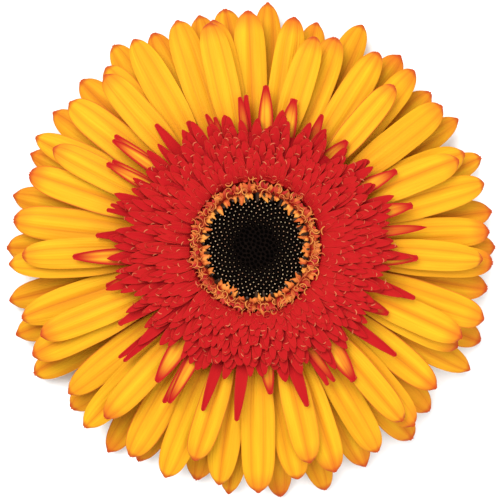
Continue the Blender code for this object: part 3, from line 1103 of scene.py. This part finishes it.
# %% [markdown]
# Underneath, green bracts in three rows hold the head together. They aren't seen from above, but a
# part is used from all sides. Each is a strip again, which widens and then narrows to a point. It is
# cupped and streaked lengthwise, and its point has turned reddish.

# %% The form and paint of a bract
LEAF_DARK, LEAF_LIGHT = (0.07, 0.16, 0.025), (0.14, 0.26, 0.050)
BRACT_TIP = (0.22, 0.07, 0.03)


def bract_outline(share):
    """Width along a bract, which narrows to its point."""
    return 0.5 + 0.5 * math.sin(math.pi * share) - 0.42 * share ** 3


def bract_relief(across, share):
    """A bract is cupped all along."""
    return 0.0003 * across * across - 0.0001


def bract_paint():
    """Green with lengthwise streaks and a reddish point."""
    paint, tree, shader = new_paint("bract_green_paint", 0.55, 0.3)
    notes = read_notes(tree)
    streak = fibres(tree, notes, 12.0, 2.0)
    colour = mix(tree, streak, LEAF_DARK, LEAF_LIGHT)
    colour = mix(tree, times(tree, fade(tree, notes.along, 0.7, 1.0), 0.7), colour, BRACT_TIP)
    tree.links.new(colour, shader.inputs["Base Color"])
    bump(tree, shader, streak, 0.00008, 0.6)
    return paint


# %% The bracts
BRACT_SHEET = 0.0004          # thickness of a bract
BRACT_ROWS = (
    Row(12, (0.0056, 0.0050), (0.0096, 0.0042), (0.0124, 0.0074), 0.0036),
    Row(15, (0.0086, 0.0066), (0.0126, 0.0060), (0.0152, 0.0096), 0.0036),
    Row(18, (0.0118, 0.0088), (0.0153, 0.0083), (0.0175, 0.0104), 0.0036),
)

strips = Strips()
draw = random.Random(31)
for step, row in enumerate(BRACT_ROWS):
    for number in range(row.count):
        angle = FULL_TURN * (number + step / 2 + draw.uniform(-0.1, 0.1)) / row.count
        lay_strip(
            strips, (row.root, row.middle, row.tip), angle, row.width, bract_outline, (6, 10),
            relief=bract_relief, tint=draw.random(),
        )
strips.thicken(BRACT_SHEET)
bract_surface = BVHTree.FromBMesh(strips.bm)
finish_piece(strips.bm, "bracts", bract_paint(), ("stalk_and_involucre",))

# %% [markdown]
# A short stub of stalk shows where the flower was cut, and it widens into the cup that the bracts
# grow on. Both are one spun piece. Its skin is green. The cut is at the very bottom, where the paint
# turns to pale pith with a darker rim of fibres.

# %% The stalk and the cup
CUP = (
    (0.0, 0.0), (0.0034, 0.0), (0.0036, 0.0002), (0.0037, 0.0022), (0.0044, 0.0029),
    (0.0058, 0.0037), (0.0096, 0.0056), (0.0132, 0.0085), (0.0156, 0.0106), (0.0160, 0.0112),
    (0.0, 0.0112),
)
PITH, PITH_RIM = (0.44, 0.48, 0.26), (0.22, 0.32, 0.09)
RIM_FROM, RIM_TO = 0.0022, 0.0030


def stalk_paint():
    """Green skin, and pale pith with a darker rim on the cut."""
    paint, tree, shader = new_paint("stalk_green", 0.5, 0.3)
    place = object_place(tree)
    height = add(tree, "SeparateXYZ", {0: place}).outputs["Z"]
    radius = add(tree, "VectorMath", {0: place}, operation="LENGTH").outputs["Value"]
    cloud = noise(tree, place, 700.0, 3.0)
    skin = mix(tree, cloud, LEAF_DARK, LEAF_LIGHT)
    pith = mix(tree, fade(tree, radius, RIM_FROM, RIM_TO), PITH, PITH_RIM)
    colour = mix(tree, fade(tree, height, 0.00015, 0.00005), skin, pith)
    tree.links.new(colour, shader.inputs["Base Color"])
    bump(tree, shader, cloud, 0.0001, 0.5)
    return paint


cup_bm = turned(CUP, 48)
cup_surface = BVHTree.FromBMesh(cup_bm)
finish_piece(cup_bm, "stalk_and_cup", stalk_paint())

# %% [markdown]
# A gerbera's stalk and bracts are downy. Short pale hairs catch the light along their edges, and
# they tell a living stem from a plastic one. Each hair is a three-sided cone. Rays cast upwards from
# a sunflower spiral find where the cup and the bracts are, and a hair stands there, leaning outwards.

# %% One hair
HAIR_FOOT, HAIR_TIP, HAIR_LENGTH = 0.00003, 0.00001, 0.0009
HAIR_OUT = 0.00035            # where its middle stands, so that its foot is sunk a little

hair_bm = bmesh.new()
bmesh.ops.create_cone(
    hair_bm, cap_ends=True, segments=3, radius1=HAIR_FOOT, radius2=HAIR_TIP, depth=HAIR_LENGTH
)
bmesh.ops.translate(hair_bm, verts=hair_bm.verts[:], vec=(0, 0, HAIR_OUT))
HAIR = as_template(hair_bm, "hair_template")

# %% The down on the green parts
HAIR_COUNT = 2600
HAIR_INNER, HAIR_OUTER = 0.0037, 0.0176
HAIR_LEAN = 0.7
BELOW_ALL = 0.01              # a depth below the whole flower

strips = Strips()
draw = random.Random(91)
for angle, radius in spiral(HAIR_COUNT, HAIR_INNER, HAIR_OUTER):
    facing = at(1.0, angle)
    below = radius * facing - BELOW_ALL * UP
    hits = [surface.ray_cast(below, UP) for surface in (cup_surface, bract_surface)]
    hits = [hit for hit in hits if hit[0] is not None]
    if not hits:
        continue
    point, normal = min(hits, key=lambda hit: hit[3])[:2]
    stray = Vector([draw.uniform(-0.3, 0.3) for axis in range(3)])
    lean = (normal + HAIR_LEAN * facing + stray).normalized()
    copy_in(
        strips, HAIR,
        Matrix.Translation(point) @ lean.to_track_quat("Z", "Y").to_matrix().to_4x4()
        @ Matrix.Scale(draw.uniform(0.6, 1.1), 4),
        draw.random(),
    )
DOWN = tinted_paint("pale_down", (0.40, 0.45, 0.28), (0.62, 0.64, 0.48), 0.6, 0.2)
finish_piece(strips.bm, "down", DOWN)
